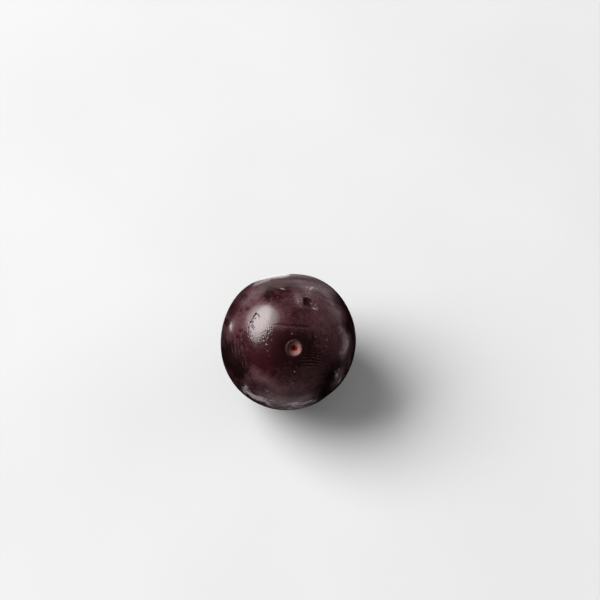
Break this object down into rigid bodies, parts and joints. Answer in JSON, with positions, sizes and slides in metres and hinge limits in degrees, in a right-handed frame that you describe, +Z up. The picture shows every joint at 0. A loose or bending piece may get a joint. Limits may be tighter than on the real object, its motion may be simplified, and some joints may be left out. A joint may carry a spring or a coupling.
{
  "type": "plum",
  "caption": "Ripe round dark plum with a stem scar, a shallow stem hollow and a small healed pit, lying on a small flat spot.",
  "frame": {"origin": "under the middle of the fruit, on the surface that it lies on", "axes": "+Z up from the flat spot it rests on, -Y towards the side that the stem end leans to, +X to the right of it"},
  "size_m": [0.04, 0.0406, 0.0407],
  "materials": {
    "plum_skin": "smooth waxy fruit skin, semi-gloss, partly dulled by bloom"
  },
  "bodies": {
    "root": {"plum": "plum_skin"}
  },
  "joints": []
}
